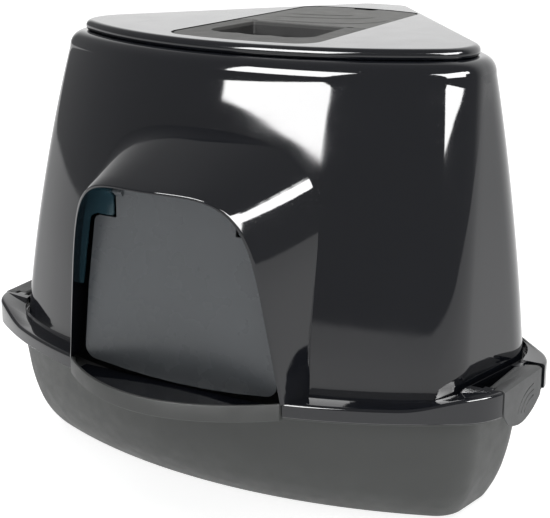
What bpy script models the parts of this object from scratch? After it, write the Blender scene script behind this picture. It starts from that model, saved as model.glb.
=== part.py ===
"""Corner cat litter box: a deep tray, a lift-off hood with a porch and a swinging flap, two side
latches, a top cover and a carry handle whose rear lid opens over the odour filter.

Units are metres, +Z is up, the front faces -Y and the box is symmetric about X = 0.
The origin is on the floor, under the middle of the outside box.
"""

import math
from collections import namedtuple

import bmesh
import bpy
from mathutils import Matrix, Vector

# ---------------------------------------------------------------- driving dimensions
FIT = 0.0003                # gap left between touching pieces
WALL = 0.0024               # hood wall
TRAY_WALL = 0.0028
DOOR_HALF = 0.1155          # outer half width of the porch at its feet
FLANGE_Z = 0.130            # top of the hood's flange at the front
HORN_RISE = 0.010           # how much higher the flange is beside and behind the latches
SKIRT_Z = 0.117             # lower edge of the hood's skirt
SHELF_Z = 0.1145            # underside of the tray's rim shelf
GUTTER_Z = 0.1298           # bottom of the groove between flange and hood wall
HOOD_BASE_Z = 0.134
DECK_Z = 0.409              # ledge round the top cover
TOP_Z = 0.419               # highest point

# A plan is one horizontal outline. The front is an arc of radius bend whose apex is at y = front.
# It meets the side line at x = side, the side line runs back to (wide, back), and the rear wall
# runs from there to (heel, rear). turn_a, turn_b and turn_c are the reaches of the rounded corners.
Plan = namedtuple("Plan", "front bend side wide back heel rear turn_a turn_b turn_c")

FLANGE = Plan(-0.213, 0.438, 0.2744, 0.2827, -0.005, 0.030, 0.2477, 0.026, 0.022, 0.014)
BASE = Plan(-0.187, 0.438, 0.2365, 0.2585, 0.006, 0.030, 0.2350, 0.022, 0.032, 0.014)
COVER = Plan(-0.117, 0.3348, 0.2041, 0.2071, -0.0116, 0.0235, 0.2185, 0.018, 0.018, 0.010)
TRAY_TOP = Plan(-0.191, 0.438, 0.2510, 0.2600, -0.008, 0.026, 0.2260, 0.024, 0.024, 0.014)
TRAY_FOOT = Plan(-0.130, 0.550, 0.2215, 0.2315, -0.0175, 0.019, 0.1950, 0.016, 0.020, 0.010)
SHOULDER = 0.012            # how far the hood's shoulder stands outside the top cover

TRAY_RISE = ((0.0040, 0.10), (0.0100, 0.22), (0.0200, 0.39), (0.0350, 0.575), (0.0600, 0.77),
             (0.0900, 0.90), (SHELF_Z, 1.0))
HOOD_RISE = ((HOOD_BASE_Z, 0.0), (0.170, 0.085), (0.210, 0.195), (0.250, 0.325), (0.290, 0.47),
             (0.330, 0.63), (0.365, 0.785), (0.392, 0.915))

THRESHOLD_REACH = 0.0495    # how far the doorstep bulges past the porch feet
STEP_HALF = 0.1120          # half width of the doorstep
PORCH_REACH = 0.037         # how far the porch's front edge bulges past its feet
PORCH_FOOT_Y = -0.1985
CREASE_Y = -0.142           # where the porch runs into the hood's front wall

# The porch is an arch of changing shape: half width at the feet, height, how much it narrows per
# metre of height, and how square its sides and its top are.
Arch = namedtuple("Arch", "half height taper side_bend top_bend")

LIP_ARCH = Arch(0.1148, 0.1800, 0.1527, 7.50, 4.15)
CREASE_ARCH = Arch(0.1325, 0.2192, 0.0777, 7.69, 2.29)

HINGE_Y = -0.1885           # flap hinge line, and the flap's own plane
HINGE_Z = 0.2915
FLAP_THICK = 0.0020
TAB_HALF = 0.0625
SHOULDER_Z = 0.2675
EAR_X = 0.0655              # inner edge of the ears that carry the flap
PEG_R = 0.0020
PEG_FIT = 0.0003

NOTCH_FRONT = -0.1020       # the gap in the flange that holds a latch
NOTCH_REAR = -0.0200
NOTCH_X = 0.2445
LATCH_FRONT = -0.1005
LATCH_REAR = -0.0275
PIVOT_X = 0.2604            # latch pin
PIVOT_Z = 0.1350
PIN_R = 0.0016
BARREL_R = 0.0036
BARREL_FRONT = -0.0925
BARREL_REAR = -0.0355
PIN_FRONT = -0.0995
PIN_REAR = -0.0285

PANEL_GAP = 0.0012          # gap round the handle and lid panel in the top cover
PANEL_TOP = 0.4186
SEAM_Y = 0.0272             # seam between handle and lid
SEAT_Z = 0.4145             # ledge in the top cover that the panel rests on
LID_AXIS_Y = 0.0300
LID_AXIS_Z = 0.4162
LID_BARREL_R = 0.0024
LID_PIN_R = 0.0009
LID_FLOOR = 0.4158          # underside of the lid
KNUCKLE_X = 0.050           # the two knuckles of the lid hinge that belong to the handle frame
KNUCKLE_WIDE = 0.006
BASKET_FLOOR = 0.3920
BASKET_TOP = 0.4130

ARC_STEPS = 5
TURN_STEPS = 5


# ---------------------------------------------------------------- outline helpers
def arc_y(plan, x):
    """Y of the front arc at x."""
    return plan.front + plan.bend - math.sqrt(plan.bend ** 2 - x * x)


def corner_points(plan):
    """The three sharp corners of the right half: side, wide and heel."""
    return (Vector((plan.side, arc_y(plan, plan.side))),
            Vector((plan.wide, plan.back)),
            Vector((plan.heel, plan.rear)))


def offset_corner(point, before, after, distance):
    """Move a corner inward by distance, between two unit directions of travel."""
    normal_in = Vector((-before.y, before.x))
    normal_out = Vector((-after.y, after.x))
    bisector = (normal_in + normal_out).normalized()
    return point + bisector * (distance / bisector.dot(normal_in))


def inset(plan, distance):
    """The same outline, everywhere moved inward by distance."""
    side, wide, heel = corner_points(plan)
    bend = plan.bend - distance
    edge = (wide - side).normalized()
    wall = (heel - wide).normalized()
    back = Vector((-1.0, 0.0))
    angle = math.asin(plan.side / plan.bend)
    front = Vector((math.cos(angle), math.sin(angle)))
    new_side = offset_corner(side, front, edge, distance)
    new_wide = offset_corner(wide, edge, wall, distance)
    new_heel = offset_corner(heel, wall, back, distance)
    shrink = [reach - distance * math.tan(0.5 * a.angle(b)) for reach, a, b in
              ((plan.turn_a, front, edge), (plan.turn_b, edge, wall), (plan.turn_c, wall, back))]
    shrink = [max(reach, 0.002) for reach in shrink]
    return Plan(plan.front + distance, bend, new_side.x, new_wide.x, new_wide.y,
                new_heel.x, new_heel.y, *shrink)


def blend(low, high, share):
    """A plan part of the way from low to high."""
    return Plan(*[a + (b - a) * share for a, b in zip(low, high)])


def bend_points(start, start_dir, end, end_dir, steps):
    """A smooth turn from start to end, leaving out its first point."""
    angle = start_dir.angle(end_dir)
    handle = (end - start).length * (2.0 / 3.0) * math.tan(angle / 4.0) / math.sin(angle / 2.0)
    first = start + start_dir * handle
    second = end - end_dir * handle
    points = []
    for step in range(1, steps + 1):
        t = step / steps
        points.append(start * (1 - t) ** 3 + first * (3 * t * (1 - t) ** 2)
                      + second * (3 * t * t * (1 - t)) + end * t ** 3)
    return points


def half_outline(plan):
    """Points of the right half, from the front apex round to the middle of the rear."""
    side, wide, heel = corner_points(plan)
    end_angle = math.asin(plan.side / plan.bend) - plan.turn_a / plan.bend
    marks = [0.0, 0.030, 0.060, 0.088, STEP_HALF, STEP_HALF + 0.0004]
    angles = [math.asin(x / plan.bend) for x in marks]
    last = angles[-1]
    angles += [last + (end_angle - last) * k / ARC_STEPS for k in range(1, ARC_STEPS + 1)]
    points = [Vector((plan.bend * math.sin(a), plan.front + plan.bend * (1 - math.cos(a))))
              for a in angles]
    edge = (wide - side).normalized()
    wall = (heel - wide).normalized()
    back = Vector((-1.0, 0.0))
    leaving = Vector((math.cos(end_angle), math.sin(end_angle)))
    points += bend_points(points[-1], leaving, side + edge * plan.turn_a, edge, TURN_STEPS)
    points.append(wide - edge * plan.turn_b)
    points += bend_points(points[-1], edge, wide + wall * plan.turn_b, wall, TURN_STEPS)
    points.append(heel - wall * plan.turn_c)
    points += bend_points(points[-1], wall, heel + back * plan.turn_c, back, 3)
    points.append(Vector((0.0, plan.rear)))
    return points


def outline(plan):
    """The closed outline, counterclockwise from the front apex."""
    right = half_outline(plan)
    left = [Vector((-p.x, p.y)) for p in reversed(right[1:-1])]
    return right + left


def ring(plan, z):
    """An outline at height z, which is a number or a function of the point."""
    height = z if callable(z) else (lambda point: z)
    return [(p.x, p.y, height(p)) for p in outline(plan)]


# ---------------------------------------------------------------- mesh helpers
def material(name, colour, roughness, metallic=0.0, alpha=1.0):
    """A Principled BSDF material."""
    mat = bpy.data.materials.new(name)
    mat.use_nodes = True
    shader = mat.node_tree.nodes["Principled BSDF"]
    shader.inputs["Base Color"].default_value = (*colour, 1.0)
    shader.inputs["Roughness"].default_value = roughness
    shader.inputs["Metallic"].default_value = metallic
    shader.inputs["Alpha"].default_value = alpha
    mat.diffuse_color = (*colour, alpha)
    return mat


def make_object(name, bm, mat=None):
    """Turn a bmesh into an object with its faces pointing out."""
    bmesh.ops.recalc_face_normals(bm, faces=bm.faces)
    mesh = bpy.data.meshes.new(name)
    bm.to_mesh(mesh)
    bm.free()
    if mat:
        mesh.materials.append(mat)
    obj = bpy.data.objects.new(name, mesh)
    bpy.context.scene.collection.objects.link(obj)
    return obj


def loft(name, rings, mat=None, closed=False):
    """Join rings of equal length into a skin, capped at both ends or closed on itself."""
    bm = bmesh.new()
    rows = [[bm.verts.new(co) for co in points] for points in rings]
    pairs = list(zip(rows, rows[1:]))
    if closed:
        pairs.append((rows[-1], rows[0]))
    count = len(rows[0])
    for low, high in pairs:
        for i in range(count):
            j = (i + 1) % count
            bm.faces.new((low[i], low[j], high[j], high[i]))
    if not closed:
        bm.faces.new(list(reversed(rows[0])))
        bm.faces.new(rows[-1])
    bmesh.ops.connect_verts_nonplanar(bm, faces=bm.faces, angle_limit=0.0005)
    return make_object(name, bm, mat)


def prism(name, points, normal, start, end, mat=None):
    """Extrude a flat outline along X, Y or Z, from start to end."""
    place = {"X": lambda a, b, c: (c, a, b), "Y": lambda a, b, c: (a, c, b),
             "Z": lambda a, b, c: (a, b, c)}[normal]
    rings = [[place(a, b, level) for a, b in points] for level in (start, end)]
    return loft(name, rings, mat)


def rod(name, radius, start, end, sides=16, mat=None):
    """A round bar between two points."""
    start = Vector(start)
    end = Vector(end)
    bm = bmesh.new()
    bmesh.ops.create_cone(bm, cap_ends=True, segments=sides, radius1=radius, radius2=radius,
                          depth=(end - start).length)
    turn = Vector((0, 0, 1)).rotation_difference(end - start).to_matrix().to_4x4()
    bm.transform(Matrix.Translation((start + end) / 2) @ turn)
    return make_object(name, bm, mat)


def combine(target, other, operation):
    """Apply an exact boolean to target and drop the other object."""
    mod = target.modifiers.new(operation.title(), "BOOLEAN")
    mod.operation = operation
    mod.solver = "EXACT"
    mod.object = other
    bpy.context.view_layer.update()
    graph = bpy.context.evaluated_depsgraph_get()
    result = bpy.data.meshes.new_from_object(target.evaluated_get(graph))
    target.modifiers.clear()
    target.data = result
    bpy.data.objects.remove(other)
    return target


def union(target, other):
    return combine(target, other, "UNION")


def cut(target, other):
    return combine(target, other, "DIFFERENCE")


def trim(target, other):
    return combine(target, other, "INTERSECT")


def finish(obj, angle=35.0):
    """Merge slivers, smooth the round faces and keep the sharp edges."""
    bm = bmesh.new()
    bm.from_mesh(obj.data)
    bmesh.ops.remove_doubles(bm, verts=bm.verts, dist=0.00002)
    bmesh.ops.dissolve_degenerate(bm, dist=0.00001, edges=bm.edges)
    bm.to_mesh(obj.data)
    bm.free()
    obj.data.shade_smooth()
    obj.data.set_sharp_from_angle(angle=math.radians(angle))
    return obj


def set_origin(obj, point):
    """Move an object's origin to point without moving its mesh."""
    shift = Vector(point)
    obj.data.transform(Matrix.Translation(-shift))
    obj.location = shift


def mirrored(obj, name):
    """A copy of obj on the other side of X = 0."""
    bm = bmesh.new()
    bm.from_mesh(obj.data)
    bm.transform(Matrix.Scale(-1.0, 4, (1.0, 0.0, 0.0)))
    copy = make_object(name, bm, obj.data.materials[0])
    return finish(copy)


# ---------------------------------------------------------------- heights and profiles
def flange_top(point):
    """The flange is flat at the front and steps up smoothly towards the latches."""
    share = min(max((abs(point.x) - 0.205) / 0.060, 0.0), 1.0)
    if point.y > -0.11:
        share = 1.0
    return FLANGE_Z + HORN_RISE * share * share * (3 - 2 * share)


def hood_plan(z):
    """The hood's outer outline at height z."""
    top = inset(COVER, -SHOULDER)
    for (low_z, low), (high_z, high) in zip(HOOD_RISE, HOOD_RISE[1:]):
        if z <= high_z:
            share = low + (high - low) * (z - low_z) / (high_z - low_z)
            return blend(BASE, top, share)
    return blend(BASE, top, HOOD_RISE[-1][1])


def doorstep(points, reach_in, height_in=None):
    """Push the front of a ring out to the bulging doorstep, less reach_in."""
    out = []
    for x, y, z in points:
        if y < 0 and abs(x) < STEP_HALF + 0.0002:
            bulge = THRESHOLD_REACH * (1 - (x / DOOR_HALF) ** 2)
            y = min(PORCH_FOOT_Y - bulge + reach_in, y)
            if height_in is not None:
                z = height_in
        out.append((x, y, z))
    return out


def arch_profile(arch, inner, steps=12):
    """Right-to-left (x, z) points of a rounded arch, standing on the flange."""
    points = []
    for k in range(-steps, steps + 1):
        share = abs(k) / steps
        angle = math.pi / 2 * (1 - share) ** 1.7
        z = (arch.height - inner) * abs(math.sin(angle)) ** (2.0 / arch.side_bend)
        x = (arch.half - inner - arch.taper * z) * abs(math.cos(angle)) ** (2.0 / arch.top_bend)
        points.append((math.copysign(x, -k) if k else 0.0, FLANGE_Z + z))
    return points


def arch_rings(inner, front_extra, rear_y, steps=6):
    """Arches that follow the porch surface from its lip backwards. inner shrinks them."""
    front = arch_profile(LIP_ARCH, inner)
    rear = arch_profile(CREASE_ARCH, inner)
    rings = [[] for _ in range(steps + 1)]
    for (fx, fz), (rx, rz) in zip(front, rear):
        lip_y = PORCH_FOOT_Y - PORCH_REACH * max(0.0, 1 - (fx / DOOR_HALF) ** 2)
        first_y = lip_y - front_extra
        for k, points in enumerate(rings):
            y = first_y + (rear_y - first_y) * k / steps
            share = (y - lip_y) / (CREASE_Y - lip_y)
            points.append((fx + (rx - fx) * share, y, fz + (rz - fz) * share))
    return rings


def arch_solid(name, inner, front_extra, rear_y, foot_z):
    """The space under the porch surface as one solid. Its front is flat round the rim."""
    rings = arch_rings(inner, front_extra, rear_y)
    rings.insert(0, arch_rings(inner + 2.5 * WALL, front_extra, rear_y)[0])
    for points in rings:
        points.insert(0, (points[0][0], points[0][1], foot_z))
        points.append((points[-1][0], points[-1][1], foot_z))
    return loft(name, rings)


# ---------------------------------------------------------------- tray
def build_tray():
    """The litter tray, with a rim shelf, an upstand inside the hood's skirt and a doorstep."""
    foot = inset(TRAY_FOOT, 0.005)
    rim = inset(FLANGE, WALL + FIT)
    rim_in = inset(FLANGE, WALL + FIT + 0.0022)
    rings = [ring(foot, 0.0), ring(foot, TRAY_RISE[0][0])]
    for z, share in TRAY_RISE:
        rings.append(ring(blend(TRAY_FOOT, TRAY_TOP, share), z))
    rings.append(doorstep(ring(rim, SHELF_Z + 0.0001), 0.0))
    rings.append(doorstep(ring(rim, 0.1268), 0.0, FLANGE_Z))
    rings.append(doorstep(ring(rim_in, 0.1268), 0.0026, FLANGE_Z))
    rings.append(doorstep(ring(rim_in, SHELF_Z + 0.0026), 0.0026))
    for z, share in reversed(TRAY_RISE[1:]):
        plan = inset(blend(TRAY_FOOT, TRAY_TOP, share), TRAY_WALL)
        rings.append(ring(plan, z + (0.0025 if z == SHELF_Z else 0.0)))
    rings.append(ring(inset(TRAY_FOOT, 0.005 + TRAY_WALL), 0.0045))
    mat = material("tray_plastic", (0.060, 0.063, 0.062), 0.55)
    return finish(loft("litter_tray", rings, mat))


# ---------------------------------------------------------------- hood
def hood_outside():
    """The outside of the hood as one solid: skirt, flange, groove, wall and shoulder."""
    def shoulder(point):
        return min(flange_top(point), GUTTER_Z + 0.0005)

    rings = [ring(FLANGE, SKIRT_Z),
             ring(FLANGE, lambda p: flange_top(p) - 0.0028),
             ring(inset(FLANGE, 0.0009), lambda p: flange_top(p) - 0.0008),
             ring(inset(FLANGE, 0.0030), flange_top),
             ring(inset(BASE, -0.0042), flange_top),
             ring(inset(BASE, -0.0030), shoulder),
             ring(inset(BASE, -0.0010), GUTTER_Z + 0.0012)]
    rings += [ring(hood_plan(z), z) for z, _ in HOOD_RISE]
    edge = inset(COVER, -SHOULDER)
    rings += [ring(inset(edge, 0.0018), 0.4010),
              ring(inset(edge, 0.0050), 0.4062),
              ring(inset(edge, 0.0095), DECK_Z),
              ring(inset(COVER, 0.0065), DECK_Z)]
    return loft("hood_shell", rings)


def hood_inside():
    """The hollow of the hood, from below the skirt up through the opening under the cover."""
    def soffit(point):
        return flange_top(point) - WALL

    low = GUTTER_Z - 0.0023
    rings = [ring(inset(FLANGE, WALL), 0.100),
             ring(inset(FLANGE, WALL), soffit),
             ring(inset(BASE, -0.0064), soffit),
             ring(inset(BASE, -0.0050), low)]
    rings += [ring(inset(hood_plan(z), WALL), z) for z, _ in HOOD_RISE]
    edge = inset(COVER, -SHOULDER)
    opening = inset(COVER, 0.0065)
    rings += [ring(inset(edge, 0.0018 + WALL), 0.4000),
              ring(inset(edge, 0.0095), DECK_Z - WALL),
              ring(opening, DECK_Z - WALL),
              ring(opening, DECK_Z + 0.010)]
    return loft("hollow", rings)


def ear_plate(sign):
    """The bracket beside the flap's top corner, with a boss for the flap's peg."""
    strip = 0.0135
    points = [(EAR_X, 0.345), (EAR_X, SHOULDER_Z + 0.0015), (0.0835, SHOULDER_Z + 0.0015),
              (0.0890, SHOULDER_Z - 0.0010), (0.0925, SHOULDER_Z - 0.0060),
              (0.1150 - strip + 0.0020, 0.200), (0.1400, 0.200), (0.1400, 0.345)]
    points = [(sign * x, z) for x, z in points]
    plate = prism("ear", points, "Y", HINGE_Y - 0.0010, HINGE_Y + 0.0010)
    boss = rod("boss", 0.0048, (sign * EAR_X, HINGE_Y, HINGE_Z),
               (sign * (EAR_X + 0.010), HINGE_Y, HINGE_Z))
    return union(plate, boss)


def lug(sign, front, rear):
    """One of the two small blocks that hold a latch pin, at an end of the notch."""
    points = [(PIVOT_X - 0.0060, 0.1290), (PIVOT_X + 0.0036, 0.1290),
              (PIVOT_X + 0.0036, PIVOT_Z + 0.0016), (PIVOT_X + 0.0018, PIVOT_Z + 0.0034),
              (PIVOT_X - 0.0060, PIVOT_Z + 0.0034)]
    points = [(sign * x, z) for x, z in points]
    return prism("lug", points, "Y", front, rear)


def hood_fittings(sign):
    """The ear and the two latch lugs of one side."""
    return (ear_plate(sign),
            lug(sign, NOTCH_FRONT - 0.0015, BARREL_FRONT - 0.0010),
            lug(sign, BARREL_REAR + 0.0010, NOTCH_REAR + 0.0015))


def hood_space():
    """Everything that is cut out of the hood: hollow, doorway, latch notches and pin holes."""
    space = hood_inside()
    union(space, arch_solid("doorway", WALL, 0.030, -0.090, 0.090))
    for sign in (-1, 1):
        notch = [(sign * NOTCH_X, NOTCH_FRONT), (sign * 0.300, NOTCH_FRONT),
                 (sign * 0.300, NOTCH_REAR), (sign * (NOTCH_X + 0.014), NOTCH_REAR)]
        union(space, prism("notch", notch, "Z", 0.105, 0.150))
        for fitting in hood_fittings(sign):
            cut(space, fitting)
        union(space, rod("peg_hole", PEG_R + PEG_FIT,
                         (sign * (EAR_X - 0.002), HINGE_Y, HINGE_Z),
                         (sign * (EAR_X + 0.0075), HINGE_Y, HINGE_Z)))
        union(space, rod("pin_hole", PIN_R + FIT, (sign * PIVOT_X, PIN_FRONT - FIT, PIVOT_Z),
                         (sign * PIVOT_X, PIN_REAR + FIT, PIVOT_Z), 12))
    return space


def build_hood():
    """The hood: shell, porch, door ears, latch notches and latch lugs in one moulding."""
    hood = hood_outside()
    union(hood, arch_solid("porch", 0.0, 0.0, -0.100, FLANGE_Z - 0.0012))
    cut(hood, hood_space())
    hood.data.materials.clear()
    hood.data.materials.append(material("hood_plastic", (0.016, 0.018, 0.022), 0.12))
    return finish(hood)


# ---------------------------------------------------------------- flap
def flap_outline():
    """Right-to-left outline of the flap in (x, z)."""
    right = [(0.0, 0.1225), (0.030, 0.1232), (0.060, 0.1252), (0.086, 0.1283), (0.0965, 0.1310),
             (0.1015, 0.1365), (0.1030, 0.1430), (0.0965, 0.200), (0.0870, 0.2560),
             (0.0845, 0.2635), (0.0790, SHOULDER_Z), (TAB_HALF, SHOULDER_Z + 0.0005),
             (TAB_HALF, HINGE_Z + 0.0035), (0.0590, HINGE_Z + 0.0065), (0.0, HINGE_Z + 0.0065)]
    left = [(-x, z) for x, z in reversed(right[1:-1])]
    return right + left


def build_flap():
    """The swinging flap, with a moulded peg at each side of its tab."""
    mat = material("flap_plastic", (0.070, 0.080, 0.088), 0.15, alpha=0.75)
    flap = prism("door_flap", flap_outline(), "Y", HINGE_Y - FLAP_THICK / 2,
                 HINGE_Y + FLAP_THICK / 2)
    for sign in (-1, 1):
        union(flap, rod("knuckle", 0.0038, (sign * (TAB_HALF - 0.008), HINGE_Y, HINGE_Z),
                        (sign * TAB_HALF, HINGE_Y, HINGE_Z)))
        union(flap, rod("peg", PEG_R, (sign * (TAB_HALF - 0.004), HINGE_Y, HINGE_Z),
                        (sign * (EAR_X + 0.0070), HINGE_Y, HINGE_Z)))
    flap.data.materials.clear()
    flap.data.materials.append(mat)
    finish(flap)
    set_origin(flap, (0.0, HINGE_Y, HINGE_Z))
    return flap


# ---------------------------------------------------------------- latches
def side_x(y, z_inset=0.0):
    """X of the flange's side line at y."""
    side, wide, _ = corner_points(inset(FLANGE, z_inset))
    return side.x + (wide.x - side.x) * (y - side.y) / (wide.y - side.y)


def build_latch():
    """The right latch: a finger pad over the skirt's gap, an arm and a hinge barrel."""
    pad_points = [(LATCH_FRONT, 0.1390), (LATCH_FRONT, 0.1180), (-0.0965, 0.1110),
                  (-0.0880, 0.1045), (-0.0760, 0.1005), (-0.0640, 0.0995), (-0.0520, 0.1015),
                  (-0.0410, 0.1060), (-0.0320, 0.1115), (LATCH_REAR, 0.1165),
                  (LATCH_REAR, 0.1390)]
    rings = [[(side_x(y, depth), y, z) for y, z in pad_points] for depth in (0.0002, 0.0022)]
    latch = loft("latch_right", rings)
    arm = []
    for y in (LATCH_FRONT, LATCH_REAR):
        outer = side_x(y, 0.0002)
        arm.append([(PIVOT_X, y, PIVOT_Z + 0.0034), (outer - 0.0050, y, 0.1404),
                    (outer - 0.0020, y, 0.1400), (outer, y, 0.1388), (outer, y, 0.1365),
                    (outer - 0.0030, y, 0.1372), (PIVOT_X, y, PIVOT_Z + 0.0004)])
    union(latch, loft("arm", arm))
    for start, end in ((LATCH_FRONT - 0.001, BARREL_FRONT), (BARREL_REAR, LATCH_REAR + 0.001)):
        points = [(PIVOT_X - 0.010, start), (PIVOT_X + 0.0048, start),
                  (PIVOT_X + 0.0048, end), (PIVOT_X - 0.010, end)]
        cut(latch, prism("relief", points, "Z", 0.120, 0.150))
    union(latch, rod("barrel", BARREL_R, (PIVOT_X, BARREL_FRONT, PIVOT_Z),
                     (PIVOT_X, BARREL_REAR, PIVOT_Z)))
    cut(latch, rod("bore", PIN_R + FIT, (PIVOT_X, LATCH_FRONT, PIVOT_Z),
                   (PIVOT_X, LATCH_REAR, PIVOT_Z), 12))
    latch.data.materials.clear()
    latch.data.materials.append(material("latch_plastic", (0.115, 0.120, 0.120), 0.5))
    return finish(latch)


def build_latch_pin(name, sign):
    """The pin that a latch turns on."""
    pin = rod(name, PIN_R, (sign * PIVOT_X, PIN_FRONT, PIVOT_Z), (sign * PIVOT_X, PIN_REAR, PIVOT_Z),
              12, material(name + "_steel", (0.35, 0.35, 0.36), 0.35, 1.0))
    return finish(pin)


# ---------------------------------------------------------------- top cover
def rounded(corners, steps=4):
    """A closed outline from (x, y, reach) corners. A reach of 0 keeps a plain point."""
    points = []
    count = len(corners)
    for i, (x, y, reach) in enumerate(corners):
        here = Vector((x, y))
        if reach == 0:
            points.append(here)
            continue
        before = Vector(corners[i - 1][:2])
        after = Vector(corners[(i + 1) % count][:2])
        arrive = (here - before).normalized()
        leave = (after - here).normalized()
        points.append(here - arrive * reach)
        points += bend_points(points[-1], arrive, here + leave * reach, leave, steps)
    return points


def grown(points, distance):
    """A counterclockwise outline moved outward by distance."""
    moved = []
    for i, point in enumerate(points):
        arrive = (point - points[i - 1]).normalized()
        leave = (points[(i + 1) % len(points)] - point).normalized()
        moved.append(offset_corner(point, arrive, leave, -distance))
    return moved


def panel_outline():
    """The opening in the top cover, counterclockwise."""
    right = [(0.0, -0.0990, 0), (0.030, -0.0976, 0), (0.0550, -0.0942, 0), (0.0785, -0.0890, 0.020),
             (0.0660, 0.1600, 0.012), (0.030, 0.1682, 0), (0.0, 0.1700, 0)]
    left = [(-x, y, reach) for x, y, reach in reversed(right[1:-1])]
    return rounded(right + left)


def clip_box(name, front, rear):
    """A block that spans the whole panel between two y values."""
    points = [(-0.2, front), (0.2, front), (0.2, rear), (-0.2, rear)]
    return prism(name, points, "Z", 0.36, 0.45)


def build_top_cover():
    """The top cover: a plate with a rounded edge, a locating rib and a seat for the panel."""
    rings = [ring(inset(COVER, 0.0095), SEAT_Z + 0.0020),
             ring(inset(COVER, 0.0095), 0.4020),
             ring(inset(COVER, 0.0070), 0.4020),
             ring(inset(COVER, 0.0070), DECK_Z + FIT),
             ring(inset(COVER, 0.0028), DECK_Z + FIT),
             ring(inset(COVER, 0.0006), 0.4110),
             ring(COVER, 0.4135),
             ring(inset(COVER, 0.0008), 0.4164),
             ring(inset(COVER, 0.0026), 0.4182),
             ring(inset(COVER, 0.0055), TOP_Z)]
    cover = loft("top_cover", rings)
    opening = panel_outline()
    union(cover, prism("seat", grown(opening, 0.0030), "Z", 0.4120, SEAT_Z + 0.0030))
    cut(cover, prism("recess", opening, "Z", SEAT_Z, 0.430))
    cut(cover, prism("through", grown(opening, -0.0040), "Z", 0.400, 0.430))
    cover.data.materials.clear()
    cover.data.materials.append(material("cover_plastic", (0.016, 0.018, 0.022), 0.12))
    return finish(cover)


# ---------------------------------------------------------------- handle, lid and filter
def hand_hole():
    """The grip opening, with three shallow finger waves along its front edge."""
    right = [(0.0, -0.0590, 0), (0.0085, -0.0580, 0), (0.0170, -0.0550, 0), (0.0260, -0.0570, 0),
             (0.0350, -0.0575, 0), (0.0560, -0.0500, 0.012), (0.0500, SEAM_Y - 0.0022, 0.002)]
    left = [(-x, y, reach) for x, y, reach in reversed(right[1:])]
    return rounded(right + left)


def build_handle_frame():
    """The fixed handle with its grip opening, and the filter basket behind it."""
    opening = panel_outline()
    frame = prism("handle_frame", grown(opening, -PANEL_GAP), "Z", SEAT_Z + FIT, PANEL_TOP)
    trim(frame, clip_box("front_part", -0.2, SEAM_Y - 0.0004))
    hole = hand_hole()
    union(frame, prism("grip_lip", grown(hole, 0.0022), "Z", 0.4060, SEAT_Z + 0.0010))
    cut(frame, prism("grip_hole", hole, "Z", 0.390, 0.430))
    basket = prism("basket", grown(opening, -0.0048), "Z", BASKET_FLOOR, BASKET_TOP)
    trim(basket, clip_box("rear_part", SEAM_Y - 0.0020, 0.2))
    hollow = prism("hollow", grown(opening, -0.0070), "Z", BASKET_FLOOR + 0.002, 0.430)
    trim(hollow, clip_box("hollow_part", SEAM_Y + 0.0002, 0.2))
    cut(basket, hollow)
    for row in range(7):
        y = 0.046 + 0.016 * row
        slot = rounded([(-0.046, y, 0.0018), (0.046, y, 0.0018), (0.046, y + 0.005, 0.0018),
                        (-0.046, y + 0.005, 0.0018)], 3)
        cut(basket, prism("slot", slot, "Z", BASKET_FLOOR - 0.002, BASKET_FLOOR + 0.004))
    union(frame, basket)
    for sign in (-1, 1):
        x = sign * (KNUCKLE_X + KNUCKLE_WIDE / 2)
        ear = [(LID_AXIS_Y - 0.0052, 0.4090), (LID_AXIS_Y + 0.0010, 0.4090),
               (LID_AXIS_Y + 0.0021, LID_AXIS_Z - 0.0004), (LID_AXIS_Y + 0.0015, LID_AXIS_Z + 0.0016),
               (LID_AXIS_Y, LID_AXIS_Z + 0.0022), (LID_AXIS_Y - 0.0015, LID_AXIS_Z + 0.0016),
               (LID_AXIS_Y - 0.0052, 0.4140)]
        union(frame, prism("knuckle", ear, "X", x - KNUCKLE_WIDE / 2, x + KNUCKLE_WIDE / 2))
        cut(frame, rod("pin_hole", LID_PIN_R + FIT, (x - 0.01, LID_AXIS_Y, LID_AXIS_Z),
                       (x + 0.01, LID_AXIS_Y, LID_AXIS_Z), 12))
    frame.data.materials.clear()
    frame.data.materials.append(material("handle_plastic", (0.215, 0.215, 0.200), 0.6))
    return finish(frame)


def build_filter_lid():
    """The rear lid over the filter, hinged at its front edge, with a thumb notch at the rear."""
    opening = panel_outline()
    lid = prism("filter_lid", grown(opening, -PANEL_GAP), "Z", LID_FLOOR, PANEL_TOP)
    trim(lid, clip_box("rear_part", LID_AXIS_Y, 0.2))
    reach = 0.0680
    union(lid, rod("barrel", LID_BARREL_R, (-reach, LID_AXIS_Y, LID_AXIS_Z),
                   (reach, LID_AXIS_Y, LID_AXIS_Z)))
    for sign in (-1, 1):
        x = sign * (KNUCKLE_X + KNUCKLE_WIDE / 2)
        half = KNUCKLE_WIDE / 2 + 0.0004
        gap = [(x - half, LID_AXIS_Y - 0.006), (x + half, LID_AXIS_Y - 0.006),
               (x + half, LID_AXIS_Y + 0.0030), (x - half, LID_AXIS_Y + 0.0030)]
        cut(lid, prism("knuckle_gap", gap, "Z", 0.400, 0.430))
    cut(lid, rod("bore", LID_PIN_R + FIT, (-0.08, LID_AXIS_Y, LID_AXIS_Z),
                 (0.08, LID_AXIS_Y, LID_AXIS_Z), 12))
    thumb = rounded([(-0.0135, 0.1590, 0.006), (0.0135, 0.1590, 0.006), (0.0135, 0.180, 0),
                     (-0.0135, 0.180, 0)])
    cut(lid, prism("thumb_notch", thumb, "Z", 0.400, 0.430))
    lid.data.materials.clear()
    lid.data.materials.append(material("lid_plastic", (0.200, 0.200, 0.188), 0.6))
    finish(lid)
    set_origin(lid, (0.0, LID_AXIS_Y, LID_AXIS_Z))
    return lid


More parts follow.
